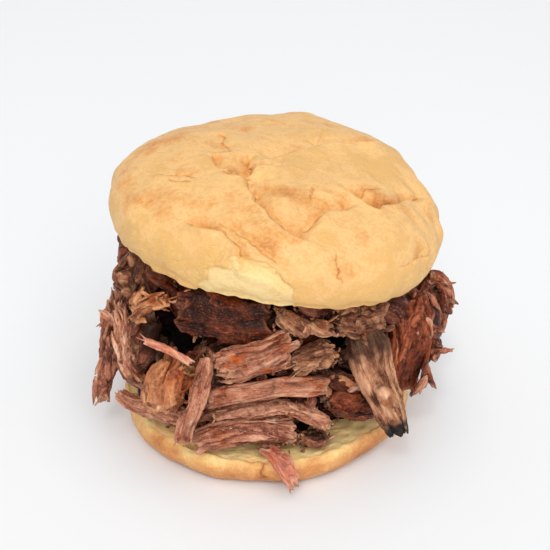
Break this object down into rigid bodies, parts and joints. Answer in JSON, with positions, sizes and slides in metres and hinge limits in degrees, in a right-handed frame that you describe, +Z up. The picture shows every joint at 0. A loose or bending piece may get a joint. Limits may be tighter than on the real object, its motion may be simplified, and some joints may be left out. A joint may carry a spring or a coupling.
{
  "type": "brisket sandwich",
  "caption": "Soft round bun cut across, its tilted top on a spilling heap of pulled brisket in long fibrous shreds, standing on its flat lower bun.",
  "frame": {"origin": "middle of the lower bun's flat underside", "axes": "+Z up, -Y towards the front, where the longest shreds of meat hang out, +X to the right seen from the front"},
  "size_m": [0.1208, 0.1137, 0.1052],
  "materials": {
    "lower_bun_crust": "soft baked bread crust, golden, matt, with a pale cut crumb face",
    "crown_crust": "soft baked bread crust, golden with paler folds and rim, slightly satin",
    "core_meat": "dark moist pulled brisket in the shadowed middle of the heap",
    "lean_meat": "mauve-brown cooked lean meat, fibrous, moist",
    "pink_meat": "reddish pink cooked meat strip, paler at its torn end",
    "sauced_meat": "dark red-brown glossy sauced meat",
    "bark_meat": "dark smoked outer bark, rough",
    "fat_meat": "tan rendered fat and pale fibres, satin"
  },
  "bodies": {
    "root": {"lower_bun": "lower_bun_crust", "crown": "crown_crust", "brisket_heap": "core_meat", "upright_strip": "lean_meat", "long_bar": "lean_meat", "lower_fan": "lean_meat", "upper_fan": "lean_meat", "hanging_strip": "pink_meat", "charred_plank": "bark_meat", "sauced_slab": "sauced_meat", "top_loop": "lean_meat", "dark_knob": "bark_meat", "fat_tuft": "fat_meat", "outer_strand": "lean_meat", "inner_strand": "lean_meat", "thin_shred": "pink_meat", "dark_slab": "sauced_meat", "curled_chunk": "fat_meat", "left_ledge": "lean_meat", "upper_layer": "lean_meat", "lower_layer": "lean_meat", "rough_chunk": "bark_meat", "left_flake": "bark_meat", "right_flake": "bark_meat", "bark_chunk": "bark_meat", "right_ledge": "sauced_meat", "dark_tail": "bark_meat"}
  },
  "joints": []
}
